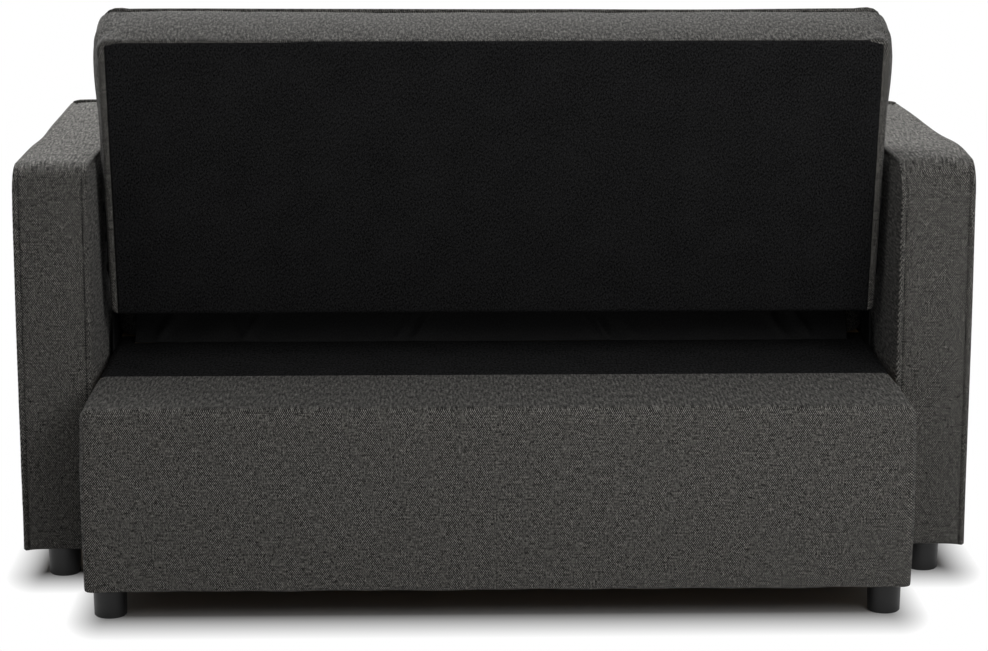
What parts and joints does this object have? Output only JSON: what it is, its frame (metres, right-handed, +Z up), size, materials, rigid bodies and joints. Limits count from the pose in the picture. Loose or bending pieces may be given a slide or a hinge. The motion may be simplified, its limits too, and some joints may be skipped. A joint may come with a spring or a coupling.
{
  "type": "sofa bed",
  "caption": "Two-seat sofa bed with padded arms: its backrest folds flat onto a rear deck and a slatted mattress frame on wheels pulls out at the front.",
  "frame": {"origin": "middle of the part's bounding box, on the floor under the legs", "axes": "+X to the sitter's left along the seat, -Y to the front, +Y to the rear deck, +Z up"},
  "size_m": [1.4424, 1, 0.8487],
  "materials": {
    "fabric": "charcoal melange woven upholstery",
    "lining": "black nonwoven lining",
    "webbing": "black woven webbing",
    "timber": "planed pine, unfinished",
    "plywood": "plywood, unfinished",
    "zinc_steel": "zinc plated",
    "black_steel": "black coated steel, satin",
    "leg_plastic": "black moulded plastic, satin",
    "wheel_rubber": "dark grey",
    "roller_plastic": "black nylon"
  },
  "bodies": {
    "base": {"side_panel_left": "plywood", "side_panel_right": "plywood", "rear_board": "plywood", "deck_board": "plywood", "cross_rails": "timber", "mid_bearer": "timber", "seat_slats": "timber", "corner_blocks": "timber", "runner_left": "zinc_steel", "runner_right": "zinc_steel", "rear_cover": "fabric", "deck_lining": "lining", "seat_flap": "lining", "seat_mattress": "fabric", "base_leg_left": "leg_plastic", "base_leg_right": "leg_plastic", "arm_leg_rear_left": "leg_plastic", "arm_leg_rear_right": "leg_plastic", "arm_leg_front_left": "leg_plastic", "arm_leg_front_right": "leg_plastic", "leg_screws": "zinc_steel", "hinge_plate_left": "black_steel", "hinge_plate_right": "black_steel", "hinge_rivets": "black_steel", "hinge_bolts": "zinc_steel", "pawl_spring_left": "black_steel", "pawl_spring_right": "black_steel", "arm_cover_left": "fabric", "arm_cover_right": "fabric", "arm_frame_left": "timber", "arm_frame_right": "timber", "arm_boards_left": "plywood", "arm_boards_right": "plywood", "arm_battens": "timber", "arm_bolts": "zinc_steel"},
    "backrest": {"backrest_rails": "timber", "backrest_stiles": "timber", "backrest_board": "plywood", "backrest_lining": "lining", "backrest_webbing": "webbing", "backrest_cushion": "fabric", "backrest_cover": "fabric", "ratchet_arm_left": "black_steel", "ratchet_arm_right": "black_steel", "ratchet_screws": "black_steel"},
    "pawl_left": {"pawl_left": "black_steel"},
    "pawl_right": {"pawl_right": "black_steel"},
    "pullout": {"pullout_front_board": "plywood", "pullout_front_pad": "fabric", "pullout_sides": "timber", "pullout_rails": "timber", "pullout_slats": "timber", "pullout_mattress": "fabric", "pull_strap": "webbing", "wheel_brackets": "zinc_steel", "pullout_axles": "zinc_steel"},
    "wheel_left": {"wheel_left": "wheel_rubber"},
    "wheel_right": {"wheel_right": "wheel_rubber"},
    "roller_left": {"roller_left": "roller_plastic"},
    "roller_right": {"roller_right": "roller_plastic"}
  },
  "joints": [
    {"name": "backrest_fold", "type": "hinge", "parent": "base", "child": "backrest", "pos_m": [0, 0.044, 0.4288], "axis": [-1, 0, 0], "range_deg": [-8, 77.7]},
    {"name": "pawl_left_turn", "type": "hinge", "parent": "base", "child": "pawl_left", "pos_m": [0.5945, 0.02, 0.3728], "axis": [-1, 0, 0], "range_deg": [0, 10], "stiffness_Nm_per_rad": 0.4, "springref_deg": -28.65, "deforming": ["pawl_spring_left"]},
    {"name": "pawl_right_turn", "type": "hinge", "parent": "base", "child": "pawl_right", "pos_m": [-0.5945, 0.02, 0.3728], "axis": [-1, 0, 0], "range_deg": [0, 10], "stiffness_Nm_per_rad": 0.4, "springref_deg": -28.65, "deforming": ["pawl_spring_right"]},
    {"name": "pullout_slide", "type": "slide", "parent": "base", "child": "pullout", "axis": [0, -1, 0], "range_m": [0, 0.82]},
    {"name": "wheel_left_spin", "type": "hinge", "parent": "pullout", "child": "wheel_left", "pos_m": [0.528, -0.418, 0.023], "axis": [1, 0, 0], "continuous": true},
    {"name": "wheel_right_spin", "type": "hinge", "parent": "pullout", "child": "wheel_right", "pos_m": [-0.528, -0.418, 0.023], "axis": [1, 0, 0], "continuous": true},
    {"name": "roller_left_spin", "type": "hinge", "parent": "pullout", "child": "roller_left", "pos_m": [0.568, 0.3836, 0.089], "axis": [1, 0, 0], "continuous": true},
    {"name": "roller_right_spin", "type": "hinge", "parent": "pullout", "child": "roller_right", "pos_m": [-0.568, 0.3836, 0.089], "axis": [1, 0, 0], "continuous": true}
  ]
}
